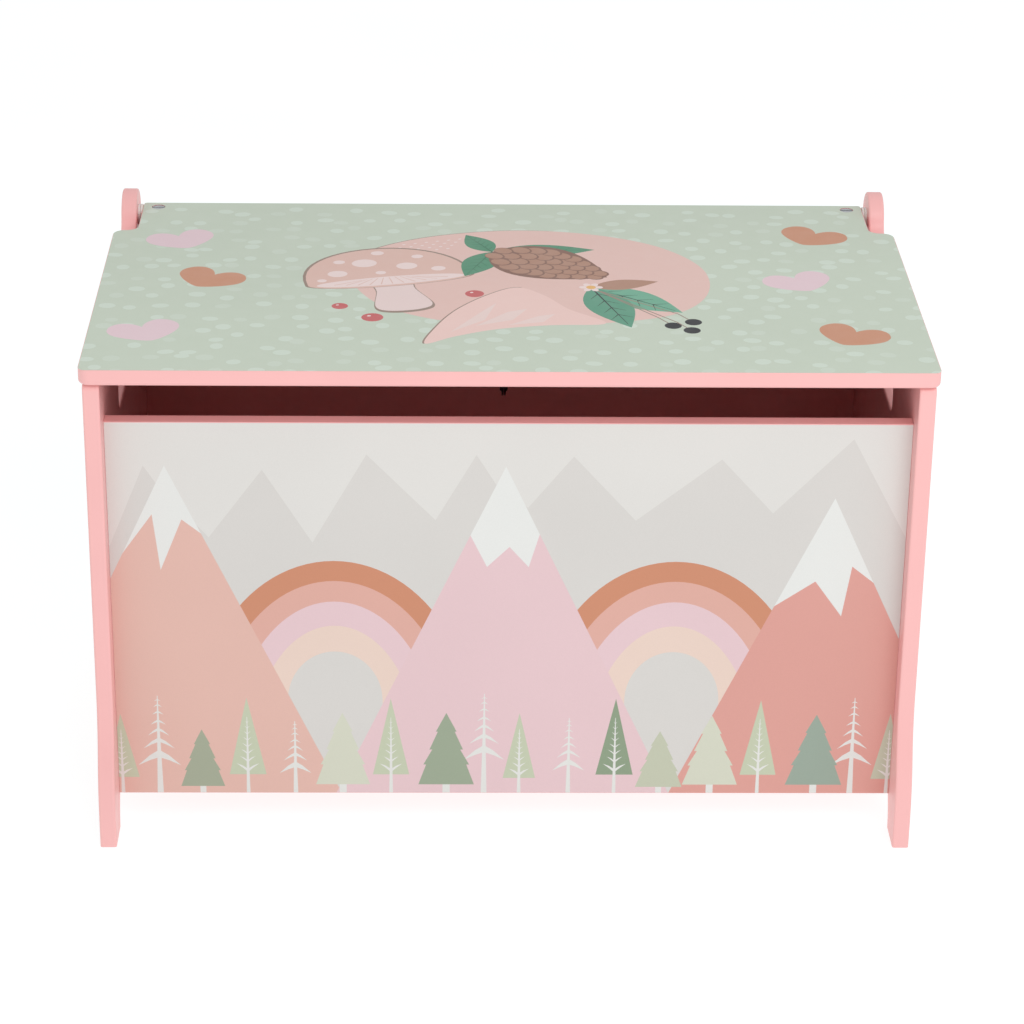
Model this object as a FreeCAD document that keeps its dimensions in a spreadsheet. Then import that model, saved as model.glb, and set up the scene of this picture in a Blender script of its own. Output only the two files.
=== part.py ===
import FreeCAD, Part

# Wooden toy box: painted board panels bolted together, a lid that turns on two bolts in the
# side panels' ears, and a folding steel stay in the middle that holds the lid.
# Frame: +X right, +Y back, +Z up. The origin is on the floor, in the middle of the footprint.

import math
import os

import Sketcher

Vector = FreeCAD.Vector
doc = FreeCAD.newDocument("toy_box")
sheet = doc.addObject("Spreadsheet::Sheet", "dims")

# ---------------------------------------------------------------- dimensions, in millimetres
DRIVING = [
    # lid
    ("lid_width", 600.0), ("lid_depth", 346.0), ("lid_thick", 12.0), ("lid_top", 373.0),
    ("lid_front", -172.0), ("lid_wide_depth", 283.0), ("notch_width", 18.0),
    ("lid_front_corner", 8.0), ("lid_rear_corner", 9.0), ("notch_corner", 8.0),
    ("lid_top_round", 0.5), ("lid_bottom_round", 3.0), ("lid_narrow_corner", 4.0),
    # pivots
    ("pivot_setback", 10.0), ("ear_radius", 21.0), ("ear_drop", 1.0), ("ear_blend", 14.0),
    # side panels
    ("side_thick", 12.0), ("side_inner", 285.5), ("side_gap", 0.5), ("side_front", -168.5),
    ("side_corner", 5.0), ("side_round", 1.6), ("foot_tip", -185.0), ("foot_straight", 24.0),
    ("leg_straight", 116.0), ("foot_length", 32.0), ("rear_foot_length", 46.0),
    ("arch_rise", 38.0), ("hole_middle", 3.0), ("hole_level", 298.5), ("hole_length", 86.0),
    ("hole_height", 25.0), ("hole_corner", 10.0),
    # panels between the sides
    ("panel_thick", 12.0), ("panel_round", 0.5), ("panel_gap", 0.1), ("front_face", -151.0),
    ("back_face", 168.0), ("panel_foot", 26.5), ("front_top", 325.5), ("back_top", 350.0),
    ("base_level", 42.0), ("base_gap", 0.2),
    # bolts, barrel nuts and dowels that hold the panels
    ("shank_radius", 3.0), ("clear_radius", 3.3), ("head_radius", 7.0), ("head_thick", 2.4),
    ("head_round", 0.8), ("bore_radius", 7.4), ("bore_depth", 2.8),
    ("socket_radius", 2.3), ("socket_depth", 1.6), ("bolt_length", 45.5),
    ("nut_setback", 28.0), ("bolt_hole_depth", 37.0), ("nut_radius", 5.0), ("nut_length", 8.6),
    ("nut_hole_radius", 5.1), ("nut_hole_depth", 10.5), ("nut_slot_width", 1.2),
    ("nut_slot_depth", 1.0), ("fit_clear", 0.05), ("bolt_low", 90.0), ("bolt_high", 266.0),
    ("base_bolt_front", -85.0), ("base_bolt_back", 103.0), ("dowel_radius", 3.0),
    ("dowel_length", 28.0), ("dowel_in_side", 8.0), ("dowel_low", 140.0), ("dowel_high", 216.0),
    ("base_dowel_front", -30.0), ("base_dowel_back", 48.0),
    # pivot hardware
    ("pivot_nut_inset", 30.0), ("pivot_nut_recess", 0.3), ("pivot_nut_hole_radius", 5.3),
    ("pivot_bolt_length", 34.0), ("pivot_hole_depth", 22.0), ("head_clear", 0.2),
    ("bush_radius", 5.0), ("flange_radius", 8.0), ("flange_thick", 1.6),
    ("washer_thick", 1.6), ("washer_clear", 0.1),
    # lid stay
    ("strap_thick", 1.5), ("strap_gap", 0.3), ("strap_radius", 7.0), ("tab_radius", 8.0),
    ("rivet_radius", 2.5), ("rivet_head_radius", 4.0), ("rivet_crown_radius", 2.7),
    ("rivet_head_thick", 1.3), ("rivet_play", 0.1), ("stay_drop", 88.0), ("stay_offset", 6.0),
    ("stay_reach", 88.0), ("stay_lid_drop", 18.0), ("plate_thick", 1.5), ("plate_half", 17.0),
    ("plate_below", 23.0), ("plate_above", 29.0), ("plate_corner", 2.0),
    ("lid_plate_half", 20.0), ("stop_rise", 23.0), ("stop_front", 159.0), ("stop_side", 1.2),
    ("screw_radius", 1.5), ("pilot_radius", 1.6), ("screw_length", 9.0), ("pilot_depth", 9.0),
    ("screw_head_radius", 3.4), ("screw_crown_radius", 2.0), ("screw_head_thick", 1.8),
    ("screw_slot_width", 0.8), ("screw_slot_depth", 0.9), ("screw_spread", 11.0),
    ("screw_margin", 6.0),
]

# Places worked out from the driving dimensions, by formulas in the same sheet.
DERIVED = [
    ("lid_bottom", "lid_top - lid_thick"),
    ("lid_back", "lid_front + lid_depth"),
    ("lid_shoulder", "lid_front + lid_wide_depth"),
    ("lid_half", "lid_width / 2"),
    ("lid_narrow", "lid_half - notch_width"),
    ("side_outer", "side_inner + side_thick"),
    ("side_top", "lid_bottom - side_gap"),
    ("pivot_back", "lid_back - pivot_setback"),
    ("pivot_level", "lid_top - lid_thick / 2"),
    ("pivot_nut", "lid_half - pivot_nut_inset"),
    ("nut_half", "nut_length / 2"),
    ("pivot_nut_above", "lid_thick / 2 - pivot_nut_recess"),
    ("ear_level", "pivot_level - ear_drop"),
    ("bolt_seat", "side_outer - bore_depth"),
    ("sleeve_length", "side_thick - bore_depth"),
    ("side_back", "pivot_back + ear_radius"),
    ("heel", "foot_tip + foot_length"),
    ("rear_heel", "side_back - rear_foot_length"),
    ("hole_front", "hole_middle - hole_length / 2"),
    ("hole_back", "hole_middle + hole_length / 2"),
    ("hole_low", "hole_level - hole_height / 2"),
    ("hole_high", "hole_level + hole_height / 2"),
    ("panel_half", "side_inner - panel_gap"),
    ("front_inside", "front_face + panel_thick"),
    ("front_middle", "front_face + panel_thick / 2"),
    ("back_middle", "back_face + panel_thick / 2"),
    ("base_middle", "base_level + panel_thick / 2"),
    ("nut_place", "side_inner - nut_setback"),
    ("dowel_start", "side_inner + dowel_in_side"),
    ("stay_back_y", "pivot_back - stay_offset"),
    ("stay_back_z", "pivot_level - stay_drop"),
    ("stay_lid_y", "pivot_back - stay_reach"),
    ("stay_lid_z", "pivot_level - stay_lid_drop"),
    ("elbow_y", "stay_back_y - stay_reach"),
    ("elbow_z", "stay_back_z - stay_lid_drop"),
    ("strap_inside", "strap_gap / 2"),
    ("strap_outside", "strap_inside + strap_thick"),
    ("tab_inside", "strap_outside + strap_gap"),
    ("tab_outside", "tab_inside + plate_thick"),
    ("outer_grip", "tab_outside - strap_inside + rivet_play"),
    ("elbow_grip", "strap_outside * 2 + rivet_play"),
    ("plate_low", "stay_back_z - plate_below"),
    ("plate_high", "stay_back_z + plate_above"),
    ("lid_plate_front", "stay_lid_y - lid_plate_half"),
    ("lid_plate_back", "stay_lid_y + lid_plate_half"),
]
CELLS = [(alias, str(value)) for alias, value in DRIVING]
CELLS += [(alias, "=" + formula) for alias, formula in DERIVED]
for row, (alias, content) in enumerate(CELLS, start=1):
    sheet.set("A%d" % row, alias)
    sheet.set("B%d" % row, content)
    sheet.setAlias("B%d" % row, alias)
doc.recompute()


# ---------------------------------------------------------------- formulas and sketch helpers
SAME = 1e-6  # lengths that differ by less than this count as equal, mm
LEAST_CUT = 0.1  # the least a pocket may take away, mm3


def bind(formula):
    """A sum or difference of cell names and numbers, as an expression on the sheet."""
    return " ".join("dims." + word if word[0].isalpha() else word for word in formula.split())


def number(formula):
    """The value of such a formula."""
    total = 0.0
    sign = 1.0
    for word in formula.split():
        if word in "+-":
            sign = -1.0 if word == "-" else 1.0
        else:
            total += sign * float(sheet.get(word) if word[0].isalpha() else word)
    return total


def point(place):
    return Vector(number(place[0]), number(place[1]), 0)


def new_body(label):
    body = doc.addObject("PartDesign::Body", label)
    body.Label = label
    return body


def new_sketch(body, plane, level="0"):
    """A sketch on one of the body's origin planes, moved along that plane's normal to a level.

    The normals are +Z for XY_Plane, +X for YZ_Plane and -Y for XZ_Plane.
    """
    sketch = body.newObject("Sketcher::SketchObject", body.Name + "_sketch")
    origin = [feature for feature in body.Origin.OriginFeatures if feature.Role == plane][0]
    sketch.AttachmentSupport = [(origin, "")]
    sketch.MapMode = "FlatFace"
    sketch.setExpression("AttachmentOffset.Base.z", bind(level))
    return sketch


def constrain(sketch, kind, *where, formula=None):
    """Add a constraint, and bind its value to the sheet when it has one."""
    if formula is None:
        return sketch.addConstraint(Sketcher.Constraint(kind, *where))
    index = sketch.addConstraint(Sketcher.Constraint(kind, *where, number(formula)))
    sketch.setExpression("Constraints[%d]" % index, bind(formula))
    return index


ORIGIN = (-1, 1)
START, END, CENTRE = 1, 2, 3


def locate(sketch, piece, end, place):
    """Hold one point of a piece at a place given by two formulas."""
    constrain(sketch, "DistanceX", *ORIGIN, piece, end, formula=place[0])
    constrain(sketch, "DistanceY", *ORIGIN, piece, end, formula=place[1])


def circle(sketch, place, radius):
    piece = sketch.addGeometry(Part.Circle(point(place), Vector(0, 0, 1), number(radius)))
    locate(sketch, piece, CENTRE, place)
    constrain(sketch, "Radius", piece, formula=radius)


def polygon(sketch, corners):
    """A closed outline of straight lines whose corners are all held by formulas."""
    spots = [point(corner) for corner in corners]
    pieces = []
    for here, there in zip(spots, spots[1:] + spots[:1]):
        pieces.append(sketch.addGeometry(Part.LineSegment(here, there)))
    for piece, following, corner in zip(pieces, pieces[1:] + pieces[:1], corners[1:] + corners[:1]):
        constrain(sketch, "Coincident", piece, END, following, START)
        locate(sketch, following, START, corner)


def rectangle(sketch, left, low, right, high):
    polygon(sketch, [(left, low), (right, low), (right, high), (left, high)])


def arc(sketch, centre, radius, first, last):
    """An arc, counter-clockwise from one angle to another, in degrees."""
    round_piece = Part.Circle(centre, Vector(0, 0, 1), radius)
    return sketch.addGeometry(
        Part.ArcOfCircle(round_piece, math.radians(first), math.radians(last)))


def line(sketch, here, there):
    return sketch.addGeometry(Part.LineSegment(here, there))


def tangent(sketch, one, one_end, two, two_end):
    constrain(sketch, "Tangent", one, one_end, two, two_end)


def pad(body, sketch, length, reverse=False):
    feature = body.newObject("PartDesign::Pad", body.Name + "_pad")
    feature.Profile = sketch
    feature.Length = number(length)
    feature.setExpression("Length", bind(length))
    feature.Reversed = reverse
    doc.recompute()
    return feature


def pocket(body, sketch, depth, reverse=False):
    """Cut a sketch into the body, against the sketch's normal, or along it when reversed."""
    before = body.Shape.Volume
    feature = body.newObject("PartDesign::Pocket", body.Name + "_pocket")
    feature.Profile = sketch
    feature.Length = number(depth)
    feature.setExpression("Length", bind(depth))
    feature.Reversed = reverse
    doc.recompute()
    if body.Shape.Volume > before - LEAST_CUT:
        raise RuntimeError("a pocket in %s cuts nothing" % body.Label)
    return feature


def holes(body, plane, level, places, radius, depth, reverse=False):
    sketch = new_sketch(body, plane, level)
    for place in places:
        circle(sketch, place, radius)
    return pocket(body, sketch, depth, reverse)


def round_edges(body, base, radius, chosen):
    """Round the edges of the base feature that the test chooses."""
    names = ["Edge%d" % (i + 1) for i, edge in enumerate(base.Shape.Edges) if chosen(edge)]
    feature = body.newObject("PartDesign::Fillet", body.Name + "_round")
    feature.Base = (base, names)
    feature.Radius = number(radius)
    feature.setExpression("Radius", bind(radius))
    doc.recompute()
    if not feature.Shape.isValid():
        raise RuntimeError("the rounded edges of %s are not valid" % body.Label)
    return feature


def flat_at(edge, axis, *levels):
    """Whether an edge lies in one of the planes that cross an axis at the given levels."""
    box = edge.BoundBox
    low = getattr(box, axis + "Min")
    high = getattr(box, axis + "Max")
    return high - low < SAME and any(abs(low - level) < SAME for level in levels)


def runs_along(edge, axis):
    """Whether an edge is a straight line parallel to an axis."""
    return abs(edge.Length - getattr(edge.BoundBox, axis + "Length")) < SAME


def upright_at(edge, x, y):
    """Whether an edge is a vertical line at a place in plan, on either side of the middle."""
    box = edge.BoundBox
    return runs_along(edge, "Z") and abs(abs(box.XMin) - x) < SAME and abs(box.YMin - y) < SAME


# ---------------------------------------------------------------- board panels
def lid_panel():
    """The lid board: full width in front, and narrower between the ears at the back."""
    body = new_body("lid_panel")
    sketch = new_sketch(body, "XY_Plane", "lid_bottom")
    polygon(sketch, [
        ("- lid_half", "lid_front"), ("lid_half", "lid_front"),
        ("lid_half", "lid_shoulder"), ("lid_narrow", "lid_shoulder"),
        ("lid_narrow", "lid_back"), ("- lid_narrow", "lid_back"),
        ("- lid_narrow", "lid_shoulder"), ("- lid_half", "lid_shoulder")])
    feature = pad(body, sketch, "lid_thick")
    corners = [
        ("lid_half", "lid_front", "lid_front_corner"),
        ("lid_half", "lid_shoulder", "lid_rear_corner"),
        ("lid_narrow", "lid_shoulder", "notch_corner"),
        ("lid_narrow", "lid_back", "lid_narrow_corner")]
    for across, along, radius in corners:
        x, y = number(across), number(along)
        feature = round_edges(body, feature, radius, lambda edge: upright_at(edge, x, y))
    for level, radius in (("lid_bottom", "lid_bottom_round"), ("lid_top", "lid_top_round")):
        face = number(level)
        feature = round_edges(body, feature, radius, lambda edge: flat_at(edge, "Z", face))
    nut_places = [("pivot_nut", "pivot_back"), ("- pivot_nut", "pivot_back")]
    holes(body, "XY_Plane", "lid_top", nut_places, "pivot_nut_hole_radius", "nut_hole_depth")
    pivot = [("pivot_back", "pivot_level")]
    holes(body, "YZ_Plane", "lid_narrow", pivot, "clear_radius", "pivot_hole_depth")
    holes(body, "YZ_Plane", "- lid_narrow", pivot, "clear_radius", "pivot_hole_depth", True)
    holes(body, "XY_Plane", "lid_bottom", lid_screw_places(), "pilot_radius", "pilot_depth", True)
    return body


def side_profile(sketch):
    """The side panel's outline: shaped front leg, foot arch, straight back and round ear."""
    front, tip = number("side_front"), number("foot_tip")
    leg, foot = number("leg_straight"), number("foot_straight")
    top, corner = number("side_top"), number("side_corner")
    heel, rear_heel, back = number("heel"), number("rear_heel"), number("side_back")
    rise, ear, blend = number("arch_rise"), number("ear_radius"), number("ear_blend")
    pivot = point(("pivot_back", "ear_level"))
    reach = front - tip
    drop = leg - foot
    bend = (drop * drop + reach * reach) / (4 * reach)
    sweep = math.degrees(math.asin(drop / (2 * bend)))
    lift = top + blend - pivot.y
    dip = math.degrees(math.asin(lift / (ear + blend)))
    blend_y = pivot.x - (ear + blend) * math.cos(math.radians(dip))

    floor = line(sketch, Vector(tip, 0, 0), Vector(heel, 0, 0))
    arch_front = arc(sketch, Vector(heel + rise, 0, 0), rise, 90, 180)
    arch = line(sketch, Vector(heel + rise, rise, 0), Vector(rear_heel - rise, rise, 0))
    arch_back = arc(sketch, Vector(rear_heel - rise, 0, 0), rise, 0, 90)
    rear_floor = line(sketch, Vector(rear_heel, 0, 0), Vector(back, 0, 0))
    rear = line(sketch, Vector(back, 0, 0), Vector(back, pivot.y, 0))
    ear_arc = arc(sketch, pivot, ear, 0, 180 - dip)
    blend_arc = arc(sketch, Vector(blend_y, top + blend, 0), blend, 270, 360 - dip)
    upper = line(sketch, Vector(blend_y, top, 0), Vector(front + corner, top, 0))
    corner_arc = arc(sketch, Vector(front + corner, top - corner, 0), corner, 90, 180)
    shin = line(sketch, Vector(front, top - corner, 0), Vector(front, leg, 0))
    leg_arc = arc(sketch, Vector(front - bend, leg, 0), bend, -sweep, 0)
    foot_arc = arc(sketch, Vector(tip + bend, foot, 0), bend, 180 - sweep, 180)
    toe = line(sketch, Vector(tip, foot, 0), Vector(tip, 0, 0))

    locate(sketch, floor, START, ("foot_tip", "0"))
    locate(sketch, floor, END, ("heel", "0"))
    constrain(sketch, "Coincident", floor, END, arch_front, END)
    constrain(sketch, "DistanceY", *ORIGIN, arch_front, CENTRE, formula="0")
    constrain(sketch, "Radius", arch_front, formula="arch_rise")
    tangent(sketch, arch_front, START, arch, START)
    tangent(sketch, arch, END, arch_back, END)
    constrain(sketch, "Horizontal", arch)
    constrain(sketch, "Equal", arch_front, arch_back)
    constrain(sketch, "Coincident", arch_back, START, rear_floor, START)
    locate(sketch, rear_floor, START, ("rear_heel", "0"))
    constrain(sketch, "Coincident", rear_floor, END, rear, START)
    constrain(sketch, "Horizontal", rear_floor)
    constrain(sketch, "Vertical", rear)
    tangent(sketch, rear, END, ear_arc, START)
    locate(sketch, ear_arc, CENTRE, ("pivot_back", "ear_level"))
    constrain(sketch, "Radius", ear_arc, formula="ear_radius")
    tangent(sketch, ear_arc, END, blend_arc, END)
    constrain(sketch, "Radius", blend_arc, formula="ear_blend")
    tangent(sketch, blend_arc, START, upper, START)
    constrain(sketch, "Horizontal", upper)
    tangent(sketch, upper, END, corner_arc, START)
    constrain(sketch, "Radius", corner_arc, formula="side_corner")
    constrain(sketch, "DistanceY", *ORIGIN, upper, END, formula="side_top")
    tangent(sketch, corner_arc, END, shin, START)
    constrain(sketch, "Vertical", shin)
    locate(sketch, shin, END, ("side_front", "leg_straight"))
    tangent(sketch, shin, END, leg_arc, END)
    tangent(sketch, leg_arc, START, foot_arc, START)
    constrain(sketch, "Equal", leg_arc, foot_arc)
    tangent(sketch, foot_arc, END, toe, START)
    constrain(sketch, "Vertical", toe)
    constrain(sketch, "DistanceY", *ORIGIN, toe, START, formula="foot_straight")
    constrain(sketch, "Coincident", toe, END, floor, START)


def hand_hole(sketch):
    """A rectangle with round corners."""
    left, right = number("hole_front"), number("hole_back")
    low, high, bend = number("hole_low"), number("hole_high"), number("hole_corner")
    centres = [(right, high, -1, -1), (left, high, 1, -1), (left, low, 1, 1), (right, low, -1, 1)]
    arcs = []
    for turn, (x, z, inward_x, inward_z) in enumerate(centres):
        middle = Vector(x + inward_x * bend, z + inward_z * bend, 0)
        arcs.append(arc(sketch, middle, bend, 90 * turn, 90 * turn + 90))
    lines = []
    for turn, piece in enumerate(arcs):
        here = sketch.getPoint(piece, END)
        there = sketch.getPoint(arcs[(turn + 1) % 4], START)
        lines.append(line(sketch, here, there))
    for turn, piece in enumerate(lines):
        tangent(sketch, arcs[turn], END, piece, START)
        tangent(sketch, piece, END, arcs[(turn + 1) % 4], START)
    constrain(sketch, "Radius", arcs[0], formula="hole_corner")
    for piece in arcs[1:]:
        constrain(sketch, "Equal", arcs[0], piece)
    constrain(sketch, "Horizontal", lines[0])
    locate(sketch, lines[0], START, ("hole_back - hole_corner", "hole_high"))
    constrain(sketch, "DistanceX", *ORIGIN, lines[1], START, formula="hole_front")
    constrain(sketch, "DistanceY", *ORIGIN, lines[2], START, formula="hole_low")


PANEL_BOLTS = [
    ("front_middle", "bolt_low"), ("front_middle", "bolt_high"),
    ("back_middle", "bolt_low"), ("back_middle", "bolt_high"),
    ("base_bolt_front", "base_middle"), ("base_bolt_back", "base_middle")]
PANEL_DOWELS = [
    ("front_middle", "dowel_low"), ("front_middle", "dowel_high"),
    ("back_middle", "dowel_low"), ("back_middle", "dowel_high"),
    ("base_dowel_front", "base_middle"), ("base_dowel_back", "base_middle")]


def side_panel(label, right):
    """A side board. Its body's own X = 0 plane is the board's inner face."""
    body = new_body(label)
    sketch = new_sketch(body, "YZ_Plane")
    side_profile(sketch)
    board = pad(body, sketch, "side_thick", reverse=not right)
    opening = new_sketch(body, "YZ_Plane")
    hand_hole(opening)
    board = pocket(body, opening, "side_thick", reverse=right)
    outside = number("side_thick") * (1 if right else -1)
    round_edges(body, board, "side_round",
                lambda edge: flat_at(edge, "X", 0.0, outside) and not flat_at(edge, "Z", 0.0))
    outer_face = "side_thick" if right else "- side_thick"
    bush_hole = [("pivot_back", "pivot_level")]
    head_bore = ("bore_radius", "bore_depth")
    holes(body, "YZ_Plane", outer_face, PANEL_BOLTS + bush_hole, *head_bore, reverse=not right)
    holes(body, "YZ_Plane", "0", PANEL_BOLTS, "clear_radius", "side_thick", reverse=right)
    holes(body, "YZ_Plane", "0", bush_hole, "bush_radius + fit_clear", "side_thick", reverse=right)
    dowel_hole = ("dowel_radius + fit_clear", "dowel_in_side")
    holes(body, "YZ_Plane", "0", PANEL_DOWELS, *dowel_hole, reverse=right)
    body.setExpression("Placement.Base.x", bind("side_inner" if right else "- side_inner"))
    return body


def end_joints(body, bolts, dowels):
    """Bolt and dowel holes in both ends of a panel that stands between the sides."""
    for level, reverse in (("panel_half", False), ("- panel_half", True)):
        holes(body, "YZ_Plane", level, bolts, "clear_radius", "bolt_hole_depth", reverse)
        dowel_hole = ("dowel_radius + fit_clear", "dowel_length - dowel_in_side")
        holes(body, "YZ_Plane", level, dowels, *dowel_hole, reverse)


def upright_panel(label, inside, top, toward_back):
    """The front or back board. Its barrel nuts go in from the face inside the box."""
    body = new_body(label)
    sketch = new_sketch(body, "XZ_Plane", "- " + inside)
    rectangle(sketch, "- panel_half", "panel_foot", "panel_half", top)
    board = pad(body, sketch, "panel_thick", reverse=toward_back)
    levels = (number("panel_foot"), number(top))
    round_edges(body, board, "panel_round",
                lambda edge: flat_at(edge, "Z", *levels) and runs_along(edge, "X"))
    middle = "back_middle" if toward_back else "front_middle"
    bolts = [place for place in PANEL_BOLTS if place[0] == middle]
    dowels = [place for place in PANEL_DOWELS if place[0] == middle]
    end_joints(body, bolts, dowels)
    nuts = [(sign + "nut_place", level) for sign in ("", "- ") for _, level in bolts]
    nut_hole = ("nut_hole_radius", "nut_hole_depth")
    holes(body, "XZ_Plane", "- " + inside, nuts, *nut_hole, reverse=not toward_back)
    if toward_back:
        pilot = ("pilot_radius", "pilot_depth")
        holes(body, "XZ_Plane", "- " + inside, back_screw_places(), *pilot)
    return body


def base_panel():
    """The floor board of the box. Its barrel nuts go in from underneath."""
    body = new_body("base_panel")
    sketch = new_sketch(body, "XY_Plane", "base_level")
    rectangle(sketch, "- panel_half", "front_inside + base_gap", "panel_half",
              "back_face - base_gap")
    pad(body, sketch, "panel_thick")
    bolts = PANEL_BOLTS[4:]
    end_joints(body, bolts, PANEL_DOWELS[4:])
    nuts = [(sign + "nut_place", place) for sign in ("", "- ") for place, _ in bolts]
    holes(body, "XY_Plane", "base_level", nuts, "nut_hole_radius", "nut_hole_depth", reverse=True)
    return body


# ---------------------------------------------------------------- turned and pressed hardware
X_AXIS, Y_AXIS, Z_AXIS = Vector(1, 0, 0), Vector(0, 1, 0), Vector(0, 0, 1)


def solid(kind, name, sizes, level="0"):
    """A Part primitive with its sizes bound to the sheet, standing at a level on its own Z."""
    item = doc.addObject("Part::" + kind, name)
    for prop, formula in sizes.items():
        setattr(item, prop, number(formula))
        item.setExpression(prop, bind(formula))
    item.setExpression("Placement.Base.z", bind(level))
    return item


def combine(kind, name, base, tool):
    item = doc.addObject("Part::" + kind, name)
    item.Base = base
    item.Tool = tool
    return item


def cylinder(name, radius, height, level="0"):
    return solid("Cylinder", name, {"Radius": radius, "Height": height}, level)


def place(item, x, y, z, turn_axis=Z_AXIS, degrees=0):
    """Turn an item about its own origin, and hold that origin at a place in the box."""
    item.Placement = FreeCAD.Placement(Vector(0, 0, 0), FreeCAD.Rotation(turn_axis, degrees))
    for letter, formula in zip("xyz", (x, y, z)):
        item.setExpression("Placement.Base." + letter, bind(formula))
    return item


def slot(name, width, depth, radius, level):
    """A bar that cuts a screwdriver slot right across a round head."""
    item = doc.addObject("Part::Box", name)
    for prop, formula in (("Length", radius + " + " + radius), ("Width", width), ("Height", depth)):
        item.setExpression(prop, bind(formula))
    item.setExpression("Placement.Base.x", bind("- " + radius))
    item.setExpression("Placement.Base.y", "-" + bind(width) + " / 2")
    item.setExpression("Placement.Base.z", bind(level))
    return item


def bolt(name, length):
    """A flat-head bolt along its own +Z, with the head below zero and a hexagon socket in it."""
    head = cylinder(name + "_head", "head_radius", "head_thick", "- head_thick")
    crown = doc.addObject("Part::Fillet", name + "_crown")
    crown.Base = head
    doc.recompute()
    rim = [i + 1 for i, edge in enumerate(head.Shape.Edges)
           if flat_at(edge, "Z", -number("head_thick"))]
    crown.Edges = [(i, number("head_round"), number("head_round")) for i in rim]
    shank = cylinder(name + "_shank", "shank_radius", length)
    socket = solid("Prism", name + "_socket",
                   {"Circumradius": "socket_radius", "Height": "socket_depth"}, "- head_thick")
    socket.Polygon = 6
    return combine("Cut", name, combine("Fuse", name + "_blank", crown, shank), socket)


def barrel_nut(name, above="nut_half"):
    """A round nut along Z with its cross hole along X through its own origin, and a slotted top."""
    barrel = cylinder(name + "_barrel", "nut_radius", "nut_half + " + above, "- nut_half")
    cross = cylinder(name + "_cross", "shank_radius + fit_clear", "nut_radius + nut_radius")
    place(cross, "- nut_radius", "0", "0", Y_AXIS, 90)
    floor = above + " - nut_slot_depth"
    groove = slot(name + "_groove", "nut_slot_width", "nut_slot_depth", "nut_radius", floor)
    return combine("Cut", name, combine("Cut", name + "_bored", barrel, cross), groove)


def group(label, items):
    """Separate identical solids that share one node."""
    item = doc.addObject("Part::Compound", label)
    item.Label = label
    item.Links = items
    return item


def panel_bolts(label, places):
    """Bolts through both side panels into the ends of one panel."""
    items = []
    for sign, degrees in (("- ", 90), ("", -90)):
        for y, z in places:
            item = bolt("%s_%d" % (label, len(items)), "bolt_length")
            items.append(place(item, sign + "bolt_seat", y, z, Y_AXIS, degrees))
    return group(label, items)


def panel_nuts(label, places, turn_axis, degrees):
    """One barrel nut on each bolt of a panel, open end towards the inside of the box."""
    items = []
    for sign in ("- ", ""):
        for y, z in places:
            item = barrel_nut("%s_%d" % (label, len(items)))
            items.append(place(item, sign + "nut_place", y, z, turn_axis, degrees))
    return group(label, items)


def panel_dowels(label, places):
    items = []
    for sign, degrees in (("- ", 90), ("", -90)):
        for y, z in places:
            item = cylinder("%s_%d" % (label, len(items)), "dowel_radius",
                            "dowel_length - fit_clear")
            start = sign + "dowel_start"
            items.append(place(item, start, y, z, Y_AXIS, degrees))
    return group(label, items)


def named(item, label):
    item.Label = label
    return item


def pivot_hardware(side, sign, degrees):
    """Pivot bolt, its barrel nut in the lid, the ear's bush and the spacer washer of one side.

    Each is made along its own +Z and turned so that +Z points into the box.
    """
    back = ("pivot_back", "pivot_level")
    pin = bolt(side + "_pivot_bolt", "pivot_bolt_length")
    minus = "- " if sign == "-" else ""
    clear = " - head_clear" if sign == "-" else " + head_clear"
    place(pin, minus + "bolt_seat" + clear, *back, Y_AXIS, degrees)
    nut = place(barrel_nut(side + "_pivot_nut", "pivot_nut_above"), minus + "pivot_nut", *back)
    sleeve = cylinder(side + "_sleeve", "bush_radius", "sleeve_length")
    flange = cylinder(side + "_flange", "flange_radius", "flange_thick", "sleeve_length")
    blank = combine("Fuse", side + "_bush_blank", sleeve, flange)
    bore = cylinder(side + "_bore", "shank_radius + fit_clear", "sleeve_length + flange_thick")
    bush = combine("Cut", side + "_pivot_bush", blank, bore)
    place(bush, minus + "bolt_seat", *back, Y_AXIS, degrees)
    ring = cylinder(side + "_ring", "flange_radius", "washer_thick")
    eye = cylinder(side + "_eye", "shank_radius + fit_clear", "washer_thick")
    washer = combine("Cut", side + "_spacer_washer", ring, eye)
    inner = " - washer_thick - washer_clear" if sign == "-" else " + washer_thick + washer_clear"
    place(washer, minus + "lid_narrow" + inner, *back, Y_AXIS, degrees)
    labels = ("_pivot_bolt", "_pivot_nut", "_pivot_bush", "_spacer_washer")
    return [named(item, side + end) for item, end in zip((pin, nut, bush, washer), labels)]


# ---------------------------------------------------------------- lid stay
# Each strap joins the same two distances as the box and the lid do, so the four pivots stay a
# parallelogram: the lower strap turns exactly with the lid and the upper one stays upright.
BACK_PIVOT = ("stay_back_y", "stay_back_z")
LID_PIVOT = ("stay_lid_y", "stay_lid_z")
ELBOW = ("elbow_y", "elbow_z")


def back_screw_places():
    return [(side + "screw_spread", level) for side in ("", "- ")
            for level in ("plate_low + screw_margin", "plate_high - screw_margin")]


def lid_screw_places():
    return [(side + "screw_spread", along) for side in ("", "- ")
            for along in ("lid_plate_front + screw_margin", "lid_plate_back - screw_margin")]


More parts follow.
